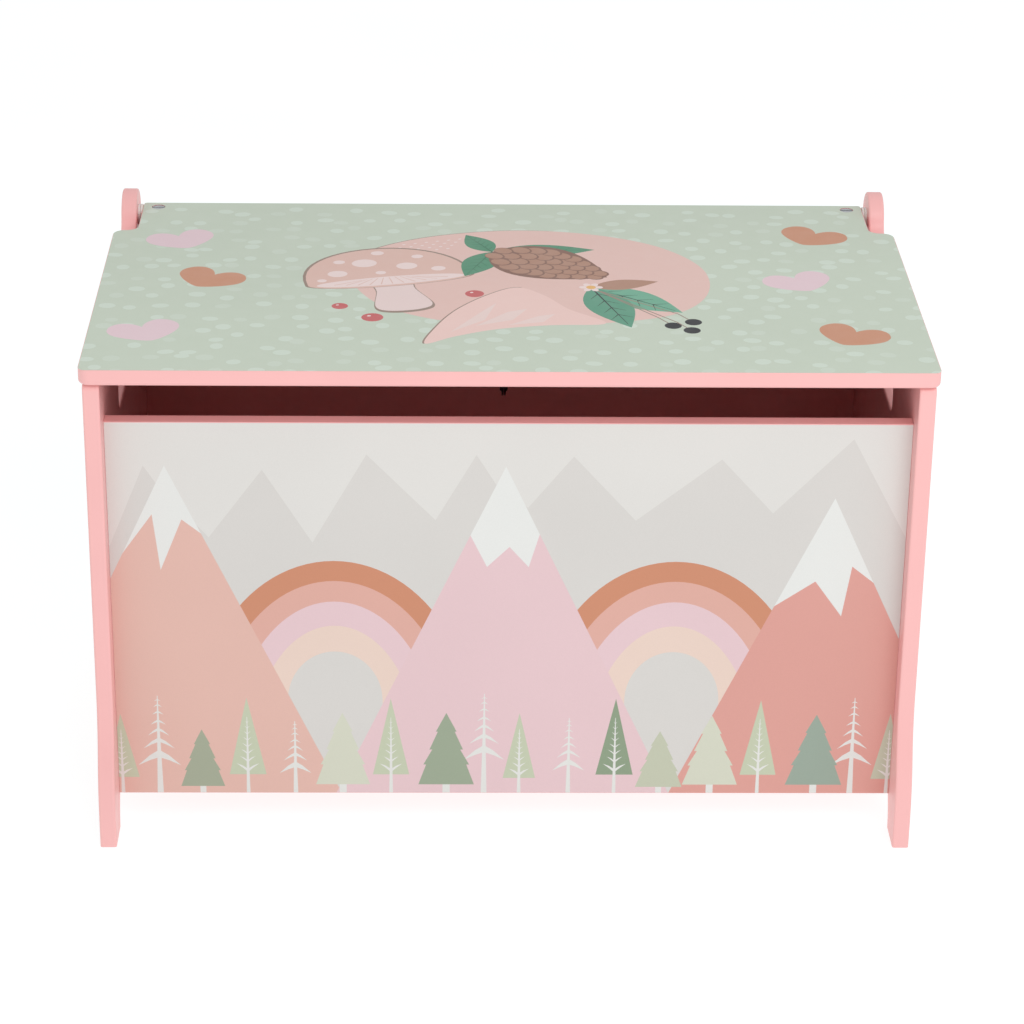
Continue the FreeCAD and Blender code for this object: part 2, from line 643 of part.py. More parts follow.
def strap(label, one, two, level):
    """A flat steel strap with round ends and a rivet hole in each."""
    body = new_body(label)
    sketch = new_sketch(body, "YZ_Plane", level)
    here, there, radius = point(one), point(two), number("strap_radius")
    along = there.sub(here)
    aim = math.degrees(math.atan2(along.y, along.x))
    off = Vector(-along.y, along.x, 0).multiply(radius / along.Length)
    far = arc(sketch, there, radius, aim - 90, aim + 90)
    near = arc(sketch, here, radius, aim + 90, aim + 270)
    left = line(sketch, there.add(off), here.add(off))
    right = line(sketch, here.sub(off), there.sub(off))
    tangent(sketch, far, END, left, START)
    tangent(sketch, left, END, near, START)
    tangent(sketch, near, END, right, START)
    tangent(sketch, right, END, far, START)
    locate(sketch, far, CENTRE, two)
    locate(sketch, near, CENTRE, one)
    constrain(sketch, "Radius", far, formula="strap_radius")
    pad(body, sketch, "strap_thick")
    holes(body, "YZ_Plane", level, [one, two], "rivet_radius + fit_clear", "strap_thick", True)
    return body


def tab(body, level, pivot, root, upright):
    """A tab with a round end about a pivot, from a plate at the root level."""
    sketch = new_sketch(body, "YZ_Plane", level)
    middle, radius, edge = point(pivot), number("tab_radius"), number(root)
    first = 180 if upright else 90
    end = arc(sketch, middle, radius, first, first + 180)
    start_at, stop_at = sketch.getPoint(end, START), sketch.getPoint(end, END)
    if upright:
        base_start, base_end = Vector(stop_at.x, edge, 0), Vector(start_at.x, edge, 0)
    else:
        base_start, base_end = Vector(edge, stop_at.y, 0), Vector(edge, start_at.y, 0)
    out = line(sketch, stop_at, base_start)
    base = line(sketch, base_start, base_end)
    home = line(sketch, base_end, start_at)
    tangent(sketch, end, END, out, START)
    constrain(sketch, "Coincident", out, END, base, START)
    constrain(sketch, "Coincident", base, END, home, START)
    tangent(sketch, home, END, end, START)
    locate(sketch, end, CENTRE, pivot)
    constrain(sketch, "Radius", end, formula="tab_radius")
    constrain(sketch, "Vertical" if upright else "Horizontal", out)
    constrain(sketch, "Vertical" if upright else "Horizontal", home)
    constrain(sketch, "Horizontal" if upright else "Vertical", base)
    axis = "DistanceY" if upright else "DistanceX"
    constrain(sketch, axis, *ORIGIN, base, START, formula=root)
    pad(body, sketch, "plate_thick")
    holes(body, "YZ_Plane", level, [pivot], "rivet_radius + fit_clear", "plate_thick", True)


def stay_back_bracket():
    """Steel plate on the back panel, with a pivot tab and a stop that the lower strap meets."""
    body = new_body("stay_back_bracket")
    plate = new_sketch(body, "XZ_Plane", "- back_face")
    rectangle(plate, "- plate_half", "plate_low", "plate_half", "plate_high")
    board = pad(body, plate, "plate_thick")
    round_edges(body, board, "plate_corner", lambda edge: runs_along(edge, "Y"))
    tab(body, "- tab_outside", BACK_PIVOT, "back_face - plate_thick", upright=False)
    stop = new_sketch(body, "XY_Plane", "stay_back_z + stop_rise")
    rectangle(stop, "- tab_outside", "stop_front", "stop_side", "back_face - plate_thick")
    pad(body, stop, "plate_thick")
    holes(body, "XZ_Plane", "- back_face", back_screw_places(), "pilot_radius", "plate_thick", True)
    return body


def stay_lid_bracket():
    """Steel plate under the lid, with a pivot tab that hangs down."""
    body = new_body("stay_lid_bracket")
    plate = new_sketch(body, "XY_Plane", "lid_bottom")
    rectangle(plate, "- plate_half", "lid_plate_front", "plate_half", "lid_plate_back")
    board = pad(body, plate, "plate_thick", reverse=True)
    round_edges(body, board, "plate_corner", lambda edge: runs_along(edge, "Z"))
    tab(body, "tab_inside", LID_PIVOT, "lid_bottom - plate_thick", upright=True)
    holes(body, "XY_Plane", "lid_bottom", lid_screw_places(), "pilot_radius", "plate_thick")
    return body


def rivet(label, low, grip, pivot):
    """A rivet along X through a grip that starts at a level on X, with a crowned head each end."""
    shaft = cylinder(label + "_shaft", "rivet_radius", grip)
    heads = []
    for end, level, first, last in (
            ("low", "- rivet_head_thick", "rivet_crown_radius", "rivet_head_radius"),
            ("high", grip, "rivet_head_radius", "rivet_crown_radius")):
        heads.append(solid("Cone", "%s_%s" % (label, end),
                           {"Radius1": first, "Radius2": last, "Height": "rivet_head_thick"},
                           level))
    item = combine("Fuse", label, combine("Fuse", label + "_blank", shaft, heads[0]), heads[1])
    return named(place(item, low, *pivot, Y_AXIS, 90), label)


def screw(name):
    """A cross-head screw along its own +Z, with the head below zero."""
    head = solid("Cone", name + "_head",
                 {"Radius1": "screw_crown_radius", "Radius2": "screw_head_radius",
                  "Height": "screw_head_thick"}, "- screw_head_thick")
    shank = cylinder(name + "_shank", "screw_radius", "screw_length")
    item = combine("Fuse", name + "_blank", head, shank)
    for turn in (0, 90):
        bar = slot("%s_bar%d" % (name, turn), "screw_slot_width", "screw_slot_depth",
                   "screw_crown_radius", "- screw_head_thick")
        if turn:
            bar.setExpression("Placement.Base.x", "dims.screw_slot_width / 2")
            bar.setExpression("Placement.Base.y", bind("- screw_crown_radius"))
            bar.Placement.Rotation = FreeCAD.Rotation(Z_AXIS, turn)
        item = combine("Cut", "%s_cut%d" % (name, turn), item, bar)
    return item


def back_bracket_screws():
    label = "stay_back_screws"
    items = [place(screw("%s_%d" % (label, i)), x, "back_face - plate_thick", z, X_AXIS, -90)
             for i, (x, z) in enumerate(back_screw_places())]
    return group(label, items)


def lid_bracket_screws():
    label = "stay_lid_screws"
    items = [place(screw("%s_%d" % (label, i)), x, y, "lid_bottom - plate_thick")
             for i, (x, y) in enumerate(lid_screw_places())]
    return group(label, items)


# ---------------------------------------------------------------- the whole box
pieces = [
    lid_panel(),
    side_panel("left_side_panel", right=False),
    side_panel("right_side_panel", right=True),
    upright_panel("front_panel", "front_inside", "front_top", toward_back=False),
    upright_panel("back_panel", "back_face", "back_top", toward_back=True),
    base_panel(),
    panel_bolts("front_panel_bolts", PANEL_BOLTS[:2]),
    panel_bolts("back_panel_bolts", PANEL_BOLTS[2:4]),
    panel_bolts("base_panel_bolts", PANEL_BOLTS[4:]),
    panel_nuts("front_panel_nuts", PANEL_BOLTS[:2], X_AXIS, -90),
    panel_nuts("back_panel_nuts", PANEL_BOLTS[2:4], X_AXIS, 90),
    panel_nuts("base_panel_nuts", PANEL_BOLTS[4:], X_AXIS, 180),
    panel_dowels("front_panel_dowels", PANEL_DOWELS[:2]),
    panel_dowels("back_panel_dowels", PANEL_DOWELS[2:4]),
    panel_dowels("base_panel_dowels", PANEL_DOWELS[4:]),
]
pieces += pivot_hardware("left", "-", 90)
pieces += pivot_hardware("right", "+", -90)
pieces += [
    stay_back_bracket(),
    stay_lid_bracket(),
    strap("stay_lower_arm", BACK_PIVOT, ELBOW, "- strap_outside"),
    strap("stay_upper_arm", LID_PIVOT, ELBOW, "strap_inside"),
    rivet("stay_back_rivet", "- tab_outside", "outer_grip", BACK_PIVOT),
    rivet("stay_elbow_rivet", "- strap_outside", "elbow_grip", ELBOW),
    rivet("stay_lid_rivet", "strap_inside - rivet_play", "outer_grip", LID_PIVOT),
    back_bracket_screws(),
    lid_bracket_screws(),
]
doc.recompute()

for item in doc.Objects:
    if "Invalid" in item.State or "Error" in item.State:
        raise RuntimeError("%s failed to recompute" % item.Label)
for piece in pieces:
    if piece.Shape.isNull() or not piece.Shape.isValid() or not piece.Shape.Solids:
        raise RuntimeError("%s has no valid solid" % piece.Label)

os.makedirs("parts", exist_ok=True)
for piece in pieces:
    piece.Shape.exportStep("parts/%s.step" % piece.Label)
    print("%-20s %2d solids %9.2f cm3" % (
        piece.Label, len(piece.Shape.Solids), piece.Shape.Volume / 1000))
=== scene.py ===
import math
import random

import bmesh
import bpy
from mathutils import Matrix, Vector
from mathutils.geometry import delaunay_2d_cdt


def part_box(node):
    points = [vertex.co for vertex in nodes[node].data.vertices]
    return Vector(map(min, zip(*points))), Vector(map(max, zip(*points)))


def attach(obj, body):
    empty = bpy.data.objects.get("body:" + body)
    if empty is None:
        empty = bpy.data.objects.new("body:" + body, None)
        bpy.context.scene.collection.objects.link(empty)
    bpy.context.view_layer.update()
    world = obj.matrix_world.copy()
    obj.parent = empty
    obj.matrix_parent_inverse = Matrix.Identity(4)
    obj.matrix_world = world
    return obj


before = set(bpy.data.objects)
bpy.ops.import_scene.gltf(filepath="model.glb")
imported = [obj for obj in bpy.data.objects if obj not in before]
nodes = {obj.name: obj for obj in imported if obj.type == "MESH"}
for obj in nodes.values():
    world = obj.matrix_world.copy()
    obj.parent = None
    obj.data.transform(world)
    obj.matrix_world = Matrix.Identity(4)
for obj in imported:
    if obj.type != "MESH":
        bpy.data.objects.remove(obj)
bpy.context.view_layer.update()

MM = 0.001
FILM = 0.12  # thickness of the printed film, mm
BOARD_ROUND = 0.5  # rounding of the boards' edges, mm: the print stops where it starts
FRONT_LIGHT = 1.07  # how much light falls on a face that looks forwards
TOP_LIGHT = 0.94  # how much light falls on a face that looks up

# ---------------------------------------------------------------- colours
PAINT = {
    "pink": (253, 190, 188),
    # the inner pink is the same pink paint made darker and more saturated: painted shade for the inside of
    # the box, which lies in shadow
    "pink_painted_shade": (245, 174, 171),
}
FRONT_INK = {
    "sky": (225, 221, 217),
    "ridge": (217, 212, 208),
    "peach": (228, 184, 172),
    "rose": (231, 198, 202),
    "salmon": (222, 159, 149),
    "snow": (232, 231, 228),
    "rust": (208, 140, 109),
    "blush": (225, 172, 159),
    "lilac": (231, 199, 204),
    "apricot": (235, 209, 196),
    "leaf": (198, 203, 177),
    "leaf_dark": (142, 158, 131),
    "fir_moss": (165, 170, 148),
    "fir_cream": (213, 213, 195),
    "fir_dark": (157, 168, 145),
    "fir_pale": (196, 198, 176),
    "fir_blue": (154, 168, 154),
    "birch": (228, 226, 222),
}
LID_INK = {
    "sage": (195, 206, 190),
    "dot": (204, 216, 203),
    "dot_faint": (200, 211, 197),
    "heart_pink": (223, 198, 205),
    "heart_brown": (199, 143, 115),
    "cloud": (224, 190, 182),
    "taupe": (150, 130, 118),
    "cap": (219, 184, 173),
    "chalk": (233, 213, 210),
    "stem": (228, 207, 204),
    "berry": (196, 98, 99),
    "petal": (233, 200, 193),
    "petal_light": (231, 208, 203),
    "leaf_green": (82, 142, 113),
    "leaf_vein": (62, 118, 92),
    "cone": (174, 134, 115),
    "cone_dark": (134, 100, 87),
    "teal": (110, 170, 144),
    "teal_dark": (92, 152, 127),
    "ink": (36, 38, 43),
    "ochre": (226, 178, 112),
}


def linear(rgb, light):
    """Surface colour that shows as that 8-bit colour under that light."""
    out = []
    for c in rgb:
        c = c / 255
        c = c / 12.92 if c <= 0.04045 else ((c + 0.055) / 1.055) ** 2.4
        out.append(min(0.93, c / light))
    return out


# ---------------------------------------------------------------- materials
def node_material(name):
    m = bpy.data.materials.new(name)
    m.use_nodes = True
    tree = m.node_tree
    tree.nodes.clear()
    out = tree.nodes.new("ShaderNodeOutputMaterial")
    shader = tree.nodes.new("ShaderNodeBsdfPrincipled")
    tree.links.new(shader.outputs["BSDF"], out.inputs["Surface"])
    where = tree.nodes.new("ShaderNodeTexCoord")
    return m, tree, shader, where.outputs["Object"]


def noise(tree, where, scale, detail, rough=0.5, stretch=None):
    if stretch:
        squeeze = tree.nodes.new("ShaderNodeMapping")
        squeeze.inputs["Scale"].default_value = stretch
        tree.links.new(where, squeeze.inputs["Vector"])
        where = squeeze.outputs["Vector"]
    n = tree.nodes.new("ShaderNodeTexNoise")
    n.inputs["Scale"].default_value = scale
    n.inputs["Detail"].default_value = detail
    n.inputs["Roughness"].default_value = rough
    tree.links.new(where, n.inputs["Vector"])
    return n.outputs["Fac"]


def spread(tree, value, low, high, start=0.3, end=0.7):
    r = tree.nodes.new("ShaderNodeMapRange")
    r.inputs["From Min"].default_value = start
    r.inputs["From Max"].default_value = end
    r.inputs["To Min"].default_value = low
    r.inputs["To Max"].default_value = high
    tree.links.new(value, r.inputs["Value"])
    return r.outputs["Result"]


def two_tone(tree, value, a, b, start=0.3, end=0.7):
    ramp = tree.nodes.new("ShaderNodeValToRGB")
    ramp.color_ramp.elements[0].position = start
    ramp.color_ramp.elements[1].position = end
    ramp.color_ramp.elements[0].color = (*a, 1)
    ramp.color_ramp.elements[1].color = (*b, 1)
    tree.links.new(value, ramp.inputs["Fac"])
    return ramp.outputs["Color"]


def bumps(tree, shader, value, strength, depth):
    b = tree.nodes.new("ShaderNodeBump")
    b.inputs["Strength"].default_value = strength
    b.inputs["Distance"].default_value = depth
    tree.links.new(value, b.inputs["Height"])
    tree.links.new(b.outputs["Normal"], shader.inputs["Normal"])


def shade(colour, k):
    """The colour, k times as bright."""
    return [min(0.95, c * k) for c in colour]


def paint(name, rgb, light=FRONT_LIGHT):
    """Satin furniture lacquer on board: even colour, faint orange peel from the spray gun."""
    m, tree, shader, where = node_material(name)
    base = linear(rgb, light)
    cloud = noise(tree, where, 9.0, 4.0)
    tone = two_tone(tree, cloud, shade(base, 0.975), shade(base, 1.02))
    tree.links.new(tone, shader.inputs["Base Color"])
    tree.links.new(spread(tree, noise(tree, where, 60.0, 3.0), 0.36, 0.46), shader.inputs["Roughness"])
    bumps(tree, shader, noise(tree, where, 420.0, 2.0), 0.12, 0.0004)
    shader.inputs["Specular IOR Level"].default_value = 0.42
    return m


def ink(name, rgb, light):
    """Printed foil on the board: a fine print grain under a satin top coat."""
    m, tree, shader, where = node_material(name)
    base = linear(rgb, light)
    grain = noise(tree, where, 1500.0, 2.0, 0.6)
    drift = noise(tree, where, 7.0, 3.0)
    mixed = tree.nodes.new("ShaderNodeMath")
    mixed.operation = "MULTIPLY_ADD"
    mixed.inputs[1].default_value = 0.5
    tree.links.new(grain, mixed.inputs[0])
    half = tree.nodes.new("ShaderNodeMath")
    half.operation = "MULTIPLY"
    half.inputs[1].default_value = 0.5
    tree.links.new(drift, half.inputs[0])
    tree.links.new(half.outputs[0], mixed.inputs[2])
    tone = two_tone(tree, mixed.outputs[0], shade(base, 0.965), shade(base, 1.03))
    tree.links.new(tone, shader.inputs["Base Color"])
    tree.links.new(spread(tree, noise(tree, where, 90.0, 3.0), 0.38, 0.5), shader.inputs["Roughness"])
    bumps(tree, shader, noise(tree, where, 900.0, 2.0), 0.06, 0.0002)
    shader.inputs["Specular IOR Level"].default_value = 0.4
    return m


def metal(name, rgb, rough, scratch=700.0):
    m, tree, shader, where = node_material(name)
    base = linear(rgb, 1.0)
    tone = noise(tree, where, 160.0, 4.0)
    tree.links.new(two_tone(tree, tone, shade(base, 0.86), shade(base, 1.06)), shader.inputs["Base Color"])
    sheen = spread(tree, noise(tree, where, scratch, 3.0), rough - 0.07, rough + 0.1)
    tree.links.new(sheen, shader.inputs["Roughness"])
    bumps(tree, shader, noise(tree, where, scratch * 2, 2.0), 0.1, 0.0001)
    shader.inputs["Metallic"].default_value = 1.0
    return m


def black_coat(name):
    """Black baked coating on stamped steel."""
    m, tree, shader, where = node_material(name)
    tone = noise(tree, where, 220.0, 3.0)
    coat = two_tone(tree, tone, (0.012, 0.012, 0.013), (0.026, 0.025, 0.026))
    tree.links.new(coat, shader.inputs["Base Color"])
    tree.links.new(spread(tree, noise(tree, where, 500.0, 3.0), 0.32, 0.48), shader.inputs["Roughness"])
    bumps(tree, shader, noise(tree, where, 1600.0, 2.0), 0.2, 0.0002)
    return m


def nylon(name):
    m, tree, shader, where = node_material(name)
    tone = noise(tree, where, 130.0, 3.0)
    tree.links.new(two_tone(tree, tone, (0.76, 0.75, 0.71), (0.84, 0.83, 0.80)), shader.inputs["Base Color"])
    tree.links.new(spread(tree, noise(tree, where, 400.0, 2.0), 0.38, 0.5), shader.inputs["Roughness"])
    bumps(tree, shader, noise(tree, where, 1200.0, 2.0), 0.1, 0.0001)
    shader.inputs["Subsurface Weight"].default_value = 0.08
    shader.inputs["Subsurface Scale"].default_value = 0.002
    return m


def beech(name):
    """Turned beech: pale wood with short darker flecks along the grain, which runs across the box."""
    m, tree, shader, where = node_material(name)
    fleck = noise(tree, where, 900.0, 4.0, 0.6, (0.08, 1.0, 1.0))
    tree.links.new(two_tone(tree, fleck, (0.47, 0.29, 0.15), (0.66, 0.46, 0.28)), shader.inputs["Base Color"])
    tree.links.new(spread(tree, fleck, 0.5, 0.65), shader.inputs["Roughness"])
    bumps(tree, shader, fleck, 0.3, 0.0002)
    return m


SLOTS = {
    "lid_board": paint("lid_paint", PAINT["pink"]),
    "side_board": paint("side_paint", PAINT["pink"]),
    "front_board": paint("front_paint", PAINT["pink"]),
    # the back and base panels take the darker pink, which is painted shade for the box's shadowed inside
    "inner_board": paint("inner_paint_painted_shade", PAINT["pink_painted_shade"]),
    "zinc_steel": metal("zinc_steel", (196, 199, 204), 0.3),
    "beech_dowel": beech("beech_dowel"),
    "white_nylon": nylon("white_nylon"),
    "black_steel": black_coat("black_steel"),
}
NODE_SLOT = {
    "lid_panel": "lid_board",
    "left_side_panel": "side_board",
    "right_side_panel": "side_board",
    "front_panel": "front_board",
    "back_panel": "inner_board",
    "base_panel": "inner_board",
}


def slot_of(name):
    if name in NODE_SLOT:
        return NODE_SLOT[name]
    if name.startswith("stay_"):
        return "black_steel"
    if name.endswith(("_bush", "_washer")):
        return "white_nylon"
    if name.endswith("_dowels"):
        return "beech_dowel"
    return "zinc_steel"


for name, node in nodes.items():
    node.data.materials.clear()
    node.data.materials.append(SLOTS[slot_of(name)])


# ---------------------------------------------------------------- flat drawing, in mm
def area(points):
    return sum(a[0] * b[1] - b[0] * a[1] for a, b in zip(points, points[1:] + points[:1])) / 2


def ellipse(x, y, rx, ry=None, turn=0.0, steps=20):
    ry = ry or rx
    c, s = math.cos(math.radians(turn)), math.sin(math.radians(turn))
    out = []
    for k in range(steps):
        a = 2 * math.pi * k / steps
        u, v = rx * math.cos(a), ry * math.sin(a)
        out.append((x + c * u - s * v, y + s * u + c * v))
    return out


def placed(points, x, y, turn=0.0, scale=1.0):
    c, s = math.cos(math.radians(turn)), math.sin(math.radians(turn))
    return [(x + scale * (c * u - s * v), y + scale * (s * u + c * v)) for u, v in points]


def smooth(points, steps=8):
    """Closed Catmull-Rom curve through the points."""
    n = len(points)
    out = []
    for k in range(n):
        p0, p1, p2, p3 = (points[(k + d) % n] for d in (-1, 0, 1, 2))
        for i in range(steps):
            t = i / steps
            out.append(tuple(
                0.5 * (2 * b + (c - a) * t
                       + (2 * a - 5 * b + 4 * c - d) * t * t
                       + (3 * b - a - 3 * c + d) * t ** 3)
                for a, b, c, d in zip(p0, p1, p2, p3)))
    return out


def rounded(corners, steps=8):
    """Closed outline from (x, y, radius) corners, each rounded."""
    n = len(corners)
    out = []
    for k in range(n):
        x, y, r = corners[k]
        p = Vector((x, y))
        a = (Vector(corners[k - 1][:2]) - p).normalized()
        b = (Vector(corners[(k + 1) % n][:2]) - p).normalized()
        half = a.angle(b) / 2
        centre = p + (a + b).normalized() * (r / math.sin(half))
        start, end = p + a * (r / math.tan(half)), p + b * (r / math.tan(half))
        s, e = start - centre, end - centre
        sweep = s.angle_signed(e)
        for i in range(steps + 1):
            c = centre + Matrix.Rotation(-sweep * i / steps, 2) @ s
            out.append((c.x, c.y))
    return out


def ribbon(points, width, end_width=None):
    """A stroke along the points, tapering from width to end_width."""
    end_width = width if end_width is None else end_width
    left, right = [], []
    last = len(points) - 1
    for k, p in enumerate(points):
        a, b = Vector(points[max(0, k - 1)]), Vector(points[min(last, k + 1)])
        side = (b - a).normalized().orthogonal() * (width + (end_width - width) * k / last) / 2
        left.append((p[0] + side.x, p[1] + side.y))
        right.append((p[0] - side.x, p[1] - side.y))
    return left + right[::-1]


def film(name, outline, holes, shapes, inks, at):
    """One thin printed film. Shapes are (ink, outline) from the back of the picture to its front,
    and each patch of the film takes the ink of the front one that covers it."""
    loops = [outline] + [points for _, points in shapes] + holes
    keys = ["base"] + [key for key, _ in shapes] + [None] * len(holes)
    points, faces = [], []
    for loop in loops:
        if area(loop) < 0:
            loop = loop[::-1]
        faces.append(list(range(len(points), len(points) + len(loop))))
        points += [Vector(p) for p in loop]
    flat, _, triangles, _, _, covers = delaunay_2d_cdt(points, [], faces, 1, 1e-4)
    names = sorted(inks)
    verts = [at(p.x, p.y, FILM) for p in flat] + [at(p.x, p.y, 0.0) for p in flat]
    n = len(flat)
    polys, material, rim = [], [], {}
    for triangle, cover in zip(triangles, covers):
        if 0 not in cover:
            continue
        key = keys[max(cover)]
        if key is None:
            continue
        index = names.index(key)
        triangle = list(triangle)
        if area([tuple(flat[i]) for i in triangle]) < 0:
            triangle.reverse()
        polys += [triangle, [i + n for i in reversed(triangle)]]
        material += [index, index]
        for a, b in zip(triangle, triangle[1:] + triangle[:1]):
            if (b, a) in rim:
                del rim[(b, a)]
            else:
                rim[(a, b)] = index
    for (a, b), index in rim.items():
        polys.append([b, a, a + n, b + n])
        material.append(index)
    mesh = bpy.data.meshes.new(name)
    mesh.from_pydata(verts, [], polys)
    for key in names:
        mesh.materials.append(inks[key])
    mesh.polygons.foreach_set("material_index", material)
    mesh.validate()
    bm = bmesh.new()
    bm.from_mesh(mesh)
    bmesh.ops.delete(bm, geom=[v for v in bm.verts if not v.link_faces], context="VERTS")
    bm.to_mesh(mesh)
    bm.free()
    ob = bpy.data.objects.new(name, mesh)
    bpy.context.scene.collection.objects.link(ob)
    return ob


# ---------------------------------------------------------------- front panel picture
low, high = (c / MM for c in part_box("front_panel"))
FACE_Y = low.y
SIDE_MARGIN = 0.2
LEFT, RIGHT = low.x + SIDE_MARGIN, high.x - SIDE_MARGIN
EDGE_HEIGHT = 28.5  # what the picture's heights count from, at the panel's lower edge
DRAWN_LOW = low.z - EDGE_HEIGHT
UNDER = 5  # how far hills and arches run on below the picture's foot
FOOT, HEAD = low.z + BOARD_ROUND - DRAWN_LOW, high.z - BOARD_ROUND - DRAWN_LOW
SLOPE = 2.155  # rise over run of each mountain's sides


def mountain(x, top):
    run = (top - FOOT + UNDER) / SLOPE
    return [(x, top), (x - run, FOOT - UNDER), (x + run, FOOT - UNDER)]


def arch(x, top, half, rise, steps=48):
    """The upper half of an ellipse on straight legs that run down past the panel's foot."""
    turns = [math.pi * k / steps for k in range(steps + 1)]
    arc = [(x + half * math.cos(a), top - rise * (1 - math.sin(a))) for a in turns]
    return [(x + half, FOOT - UNDER)] + arc + [(x - half, FOOT - UNDER)]


def fir(x, top, foot, half):
    """Solid fir with three notches a side."""
    height = top - foot
    side = [(0, 0), (0.37, 0.26), (0.30, 0.26), (0.60, 0.51), (0.50, 0.51), (0.82, 0.72), (0.72, 0.72),
            (1, 1)]
    right = [(x + half * w, top - height * f) for w, f in side]
    left = [(x - half * w, top - height * f) for w, f in side[1:]]
    return right + left[::-1]


def trunk(x, top, width, end_width=0.8):
    return ribbon([(x, FOOT - 1), (x, top)], width, end_width)


def branch(x, side, joint, tip, reach, thick):
    """One curved branch that tapers from the trunk to its tip."""
    mid = 0.45
    curve = 0.12 * abs(joint - tip)
    middle = x + side * reach * mid
    upper = (joint + thick / 2) * (1 - mid) + tip * mid + curve
    lower = (joint - thick / 2) * (1 - mid) + tip * mid + curve * 0.4
    return [(x, joint + thick / 2), (middle, upper), (x + side * reach, tip), (middle, lower),
            (x, joint - thick / 2)]


def leaf_tree(x, top, foot, half, colour):
    """Slim triangle with pale veins that rise from the trunk."""
    height = top - foot
    parts = [(colour, [(x, top), (x - half, foot), (x + half, foot)]),
             ("birch", trunk(x, foot + 0.75 * height, 2.8, 0.4))]
    levels = [(0.05, 0.145, 0.62, 2.6), (0.17, 0.24, 0.42, 1.7), (0.27, 0.33, 0.35, 1.3),
              (0.36, 0.41, 0.29, 1.1), (0.445, 0.49, 0.24, 0.9), (0.525, 0.565, 0.19, 0.8),
              (0.60, 0.635, 0.15, 0.7), (0.67, 0.70, 0.10, 0.6)]
    for joint, tip, reach, thick in levels:
        for side in (-1, 1):
            vein = branch(x, side, foot + joint * height, foot + tip * height, reach * half, thick)
            parts.append(("birch", vein))
    return parts


PINE_HEIGHT = 83  # of a bare pine at scale 1


def bare_pine(x, top, scale):
    """White trunk with branches that hang from it, shorter towards the top."""
    parts = [("birch", trunk(x, top, 4.6 * scale, 0.5))]
    levels = [(0.70, 0.58, 15.8, 0.075), (0.53, 0.44, 11.6, 0.044), (0.40, 0.335, 7.9, 0.031),
              (0.29, 0.25, 5.7, 0.024), (0.19, 0.16, 4.3, 0.019), (0.115, 0.09, 3.3, 0.015),
              (0.055, 0.04, 2.5, 0.012)]
    height = PINE_HEIGHT * scale
    for tip, joint, reach, thick in levels:
        for side in (-1, 1):
            limb = branch(x, side, top - joint * height, top - tip * height, reach * scale, thick * height)
            parts.append(("birch", limb))
    return parts


# x from the panel's middle and height in the picture, in mm
RIDGE = [(-286, 228), (-259, 294), (-250, 280), (-214, 238), (-175, 291), (-140, 234), (-101, 303),
         (-52, 252), (-23, 303), (-9, 280), (14, 262), (46, 302), (91, 252), (151, 300), (189, 258),
         (244, 316), (290, 230)]
# ink, top, half width and rise of each band
ARCHES = [("rust", 219.5, 100.0, 134.0), ("blush", 203.5, 88.0, 127.5), ("lilac", 187.0, 76.0, 123.0),
          ("apricot", 167.5, 60.0, 100.0), ("ridge", 146.5, 34.5, 40.0)]
# each peak, and the lower edge of its snow
SNOW = [
    ((-244, 294), [(-276, 225), (-254, 256), (-249, 212), (-233, 252), (-219, 241)]),
    ((-2, 294), [(-27, 240), (-15, 215), (1, 231), (15, 215), (22.5, 241)]),
    ((233, 270), [(193, 184), (222, 204), (242, 176), (248, 216), (264, 203)]),
]
front = [("ridge", [(-290, FOOT - UNDER)] + RIDGE + [(290, FOOT - UNDER)])]
for centre in (-125, 121):
    for key, top, half, rise in ARCHES:
        front.append((key, arch(centre, top, half, rise)))
for key, x, top in (("peach", -244, 294), ("salmon", 233, 270), ("rose", -2, 294)):
    front.append((key, mountain(x, top)))
for (x, top), edge in SNOW:
    first, last = edge[0], edge[-1]
    left_end = (x - (top - first[1]) / SLOPE, first[1])
    right_end = (x + (top - last[1]) / SLOPE, last[1])
    front.append(("snow", [(x, top), left_end] + edge[1:-1] + [right_end]))
for x, top, scale in (
        (-255, 110, 1.0), (-155, 89, 0.75), (-16, 112, 0.95), (46.5, 92, 0.76), (256, 109, 0.97)):
    front += bare_pine(x, top, scale)
for x, top, foot, half, colour in (
        (-282.5, 95, 42, 12.5, "leaf"), (-190, 108.5, 44.4, 13.6, "leaf"), (-84.5, 108, 44.4, 13.4, "leaf"),
        (10, 96, 41.5, 12, "leaf"), (80.5, 108, 44.4, 13.8, "leaf_dark"), (187, 107, 44.4, 13.4, "leaf"),
        (283, 96, 41, 12, "fir_pale")):
    front += leaf_tree(x, top, foot, half, colour)
for x, top, foot, half, colour, width in (
        (-223.4, 82, 34.4, 16.2, "fir_moss", 4.4), (-120, 96, 36, 20, "fir_cream", 5.2),
        (-43.8, 96, 36, 20.6, "fir_dark", 5.4), (113.6, 81, 34, 17.4, "fir_pale", 4.4),
        (151.5, 94, 36, 20.5, "fir_cream", 5.2), (228.6, 95, 36, 21, "fir_blue", 5.2)):
    front.append(("birch", trunk(x, foot + 1, width, width)))
    front.append((colour, fir(x, top, foot, half)))

front_inks = {key: ink("print_" + key, rgb, FRONT_LIGHT) for key, rgb in FRONT_INK.items()}
front_inks["base"] = front_inks.pop("sky")
front_film = film(
    "front_print", [(LEFT, FOOT), (RIGHT, FOOT), (RIGHT, HEAD), (LEFT, HEAD)], [], front, front_inks,
    lambda u, v, h: Vector((u, FACE_Y - h, v + DRAWN_LOW)) * MM)
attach(front_film, "box")

